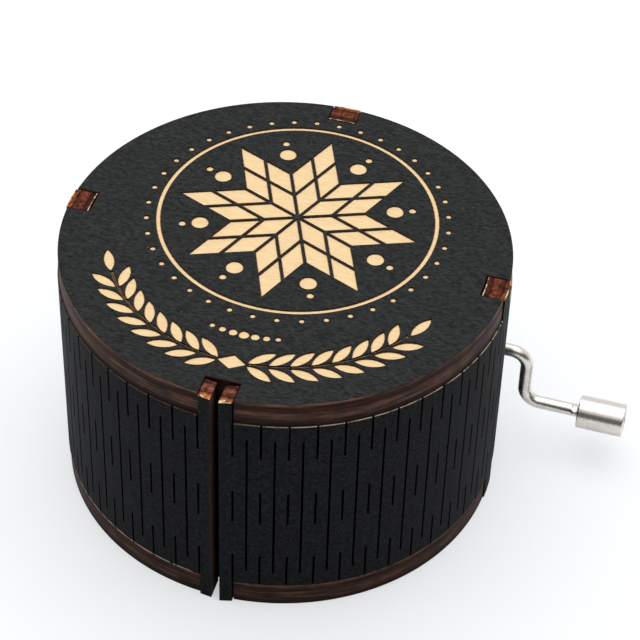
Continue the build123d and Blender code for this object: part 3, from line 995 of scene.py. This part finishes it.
def makeKnob():
    low, high = [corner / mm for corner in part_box("crank_knob")]
    y, z = (low.y + high.y) / 2, (low.z + high.z) / 2
    bm = bmesh.new()
    loops = []
    for x, radius in knobProfile(low.x, high.x, (high.z - low.z) / 2):
        ring = circle(radius, knob["around"])
        loops.append([bm.verts.new((x, y + a, z + b)) for a, b in ring])
    for first, second in zip(loops, loops[1:] + loops[:1]):
        bridge(bm, first, second, 0)
    plate = nickelPlate("nickelKnob", knob["marks"], knob["markDepth"])
    return makeObject(bm, "turnedKnob", [plate], knob["sharpAngle"])


turnedKnob = makeKnob()
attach(turnedKnob, "knob")
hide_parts("crank_knob")
print("crank and knob made")


# finishes of the movement inside. run: how close the marks lie along each axis, depth: how deep.

metals = {
    "castZinc": {
        "bright": (0.60, 0.60, 0.60), "dull": (0.44, 0.44, 0.45),
        "roughness": (0.42, 0.62), "run": (1.6, 1.6, 1.6), "depth": 0.03,
    },
    "combSteel": {
        "bright": (0.60, 0.61, 0.63), "dull": (0.47, 0.48, 0.50),
        "roughness": (0.25, 0.4), "run": (0.5, 7.0, 7.0), "depth": 0.006,
    },
    "leadGrey": {
        "bright": (0.30, 0.30, 0.32), "dull": (0.2, 0.2, 0.22),
        "roughness": (0.5, 0.7), "run": (2.0, 2.0, 2.0), "depth": 0.02,
    },
    "screwSteel": {
        "bright": (0.66, 0.66, 0.65), "dull": (0.5, 0.49, 0.47),
        "roughness": (0.22, 0.38), "run": (5.0, 5.0, 1.0), "depth": 0.006,
    },
    "shaftSteel": {
        "bright": (0.62, 0.62, 0.63), "dull": (0.5, 0.5, 0.51),
        "roughness": (0.18, 0.32), "run": (4.0, 4.0, 4.0), "depth": 0.004,
    },
    "turnedBrass": {
        "bright": (0.78, 0.58, 0.26), "dull": (0.62, 0.43, 0.17),
        "roughness": (0.2, 0.36), "run": (1.0, 8.0, 1.0), "depth": 0.006,
    },
}

tarnish = {
    "marks": {"scale": 1.0, "detail": 4, "roughness": 0.7},
    "clouds": {"scale": 0.35, "detail": 3},
    "markShare": 0.4,
    "cloudShare": 0.6,
    "dullSpan": (0.4, 0.62),
}


def metalFinish(name):
    metal = metals[name]
    material, tree = newMaterial(name)
    place = millimetres(tree)
    marks = noiseAt(tree, stretched(tree, place, metal["run"]), **tarnish["marks"])
    clouds = product(tree, noiseAt(tree, place, **tarnish["clouds"]), tarnish["cloudShare"])
    both = maths(tree, "ADD", clouds, product(tree, marks, tarnish["markShare"]))
    color = mixColor(tree, step(tree, both, *tarnish["dullSpan"]), metal["bright"], metal["dull"])
    roughness = between(tree, marks, *metal["roughness"])
    surface(tree, color, roughness, relief(tree, marks, metal["depth"]), metallic=1.0)
    return material


plastic = {
    "color": (0.78, 0.77, 0.72),
    "shade": (0.7, 0.68, 0.62),
    "clouds": {"scale": 0.25, "detail": 2},
    "shadeSpan": (0.35, 0.7),
    "grain": {"scale": 5.0, "detail": 3},
    "roughness": (0.38, 0.5),
    "relief": 0.008,
    "shine": 0.45,
}


def whitePlastic():
    material, tree = newMaterial("whitePlastic")
    place = millimetres(tree)
    grain = noiseAt(tree, place, **plastic["grain"])
    shade = step(tree, noiseAt(tree, place, **plastic["clouds"]), *plastic["shadeSpan"])
    color = mixColor(tree, shade, plastic["color"], plastic["shade"])
    roughness = between(tree, grain, *plastic["roughness"])
    bump = relief(tree, grain, plastic["relief"])
    surface(tree, color, roughness, bump, specular=plastic["shine"])
    return material


finishes = [
    (metalFinish("castZinc"), ("movement_frame", "front_bearing", "gear_bracket")),
    (metalFinish("combSteel"), ("comb",)),
    (metalFinish("leadGrey"), ("comb_weights",)),
    (metalFinish("screwSteel"), ("comb_screws", "bearing_screws", "mounting_screws")),
    (metalFinish("shaftSteel"), ("cylinder_arbor", "worm_shaft", "shaft_clip")),
    (metalFinish("turnedBrass"), ("cylinder", "thrust_washer")),
    (whitePlastic(), ("cylinder_caps", "worm_wheel", "worm")),
    (bentSheet(bottomHigh, topLow), ("side_wrap",)),
]

for finish, nodes in finishes:
    for node in nodes:
        materials = frame["nodes"][node].data.materials
        materials.clear()
        materials.append(finish)
print("finishes given")


# studio, in metres: pale floor, a wide soft lamp overhead, a dark room behind the camera

studio = {
    "cameraPlace": (0.0812, -0.2823, 0.3088),
    "cameraTurn": 14.85,
    "cameraPitch": 43.458,
    "cameraRoll": 2.01,
    "lens": 132.15,
    "sensor": 36,
    "nearest": 0.01,
    "floorHalf": 4.0,
    "floorDrop": 0.00005,
    "floorColor": (0.92, 0.935, 0.962),
    "floorShade": 0.985,
    "floorClouds": {"scale": 0.01, "detail": 2},
    "floorRoughness": 0.9,
    "floorShine": 0.1,
    "glowColor": (0.965, 0.98, 1.0),
    "glowShare": 0.5,  # how much of the floor's look to the camera is its own glow
    "lampPlace": (0.0, 0.12, 0.9),
    "lampSize": 1.1,
    "lampPower": 6.0,
    "frontDirection": (0.276, -0.961, 0.0),
    "frontSpan": (-0.1, 0.45),
    "ceilingSpan": (0.55, 0.75),
    "room": 0.9,
    "darkRoom": 0.09,
}


def placeCamera():
    data = bpy.data.cameras.new("camera")
    data.lens = studio["lens"]
    data.sensor_width = studio["sensor"]
    data.clip_start = studio["nearest"]
    camera = bpy.data.objects.new("camera", data)
    turn = Matrix.Rotation(math.radians(studio["cameraTurn"]), 4, "Z")
    pitch = Matrix.Rotation(math.radians(90 - studio["cameraPitch"]), 4, "X")
    roll = Matrix.Rotation(math.radians(studio["cameraRoll"]), 4, "Z")
    camera.matrix_world = Matrix.Translation(studio["cameraPlace"]) @ turn @ pitch @ roll
    bpy.context.scene.collection.objects.link(camera)
    bpy.context.scene.camera = camera


def paleFloor():
    material, tree = newMaterial("paleFloor")
    tone = noiseAt(tree, millimetres(tree), **studio["floorClouds"])
    shade = tuple(value * studio["floorShade"] for value in studio["floorColor"])
    color = mixColor(tree, tone, shade, studio["floorColor"])
    shader = surface(tree, color, studio["floorRoughness"], specular=studio["floorShine"])

    # a share of near white towards the camera, which keeps the shadow pale
    glow = tree.nodes.new("ShaderNodeEmission")
    glow.inputs["Color"].default_value = opaque(studio["glowColor"])
    path = tree.nodes.new("ShaderNodeLightPath")
    blend = tree.nodes.new("ShaderNodeMixShader")
    share = product(tree, path.outputs["Is Camera Ray"], studio["glowShare"])
    for socket, part in zip(blend.inputs, (share, shader.outputs[0], glow.outputs[0])):
        tree.links.new(part, socket)
    tree.links.new(blend.outputs[0], tree.nodes["Material Output"].inputs["Surface"])
    return material


def makeFloor():
    half = studio["floorHalf"]
    bm = bmesh.new()
    corners = [(-half, -half), (half, -half), (half, half), (-half, half)]
    bm.faces.new(addLoop(bm, corners, -studio["floorDrop"]))
    mesh = bpy.data.meshes.new("floor")
    bm.to_mesh(mesh)
    bm.free()
    mesh.materials.append(paleFloor())
    floor = bpy.data.objects.new("floor", mesh)
    bpy.context.scene.collection.objects.link(floor)


def hangLamp():
    data = bpy.data.lights.new("softLamp", "AREA")
    data.shape = "SQUARE"
    data.size = studio["lampSize"]
    data.energy = studio["lampPower"]
    lamp = bpy.data.objects.new("softLamp", data)
    lamp.location = studio["lampPlace"]
    bpy.context.scene.collection.objects.link(lamp)


def lightRoom():
    # an even glow all round, dark in front up to the ceiling, and white where the camera sees it
    world = bpy.data.worlds.new("room")
    bpy.context.scene.world = world
    world.use_nodes = True
    tree = world.node_tree
    tree.nodes.clear()
    direction = tree.nodes.new("ShaderNodeTexCoord").outputs["Generated"]
    ahead = vectorMaths(tree, "DOT_PRODUCT", direction, studio["frontDirection"])
    ceiling = step(tree, axesOf(tree, direction)["Z"], *studio["ceilingSpan"])
    below = maths(tree, "SUBTRACT", 1.0, ceiling)
    dark = product(tree, step(tree, ahead, *studio["frontSpan"]), below)
    level = mixValue(tree, dark, studio["room"], studio["darkRoom"])
    path = tree.nodes.new("ShaderNodeLightPath")
    level = mixValue(tree, path.outputs["Is Camera Ray"], level, 1.0)
    background = tree.nodes.new("ShaderNodeBackground")
    tree.links.new(level, background.inputs["Color"])
    output = tree.nodes.new("ShaderNodeOutputWorld")
    tree.links.new(background.outputs[0], output.inputs["Surface"])


placeCamera()
makeFloor()
hangLamp()
lightRoom()
bpy.context.scene.view_settings.view_transform = "Standard"
print("studio set")
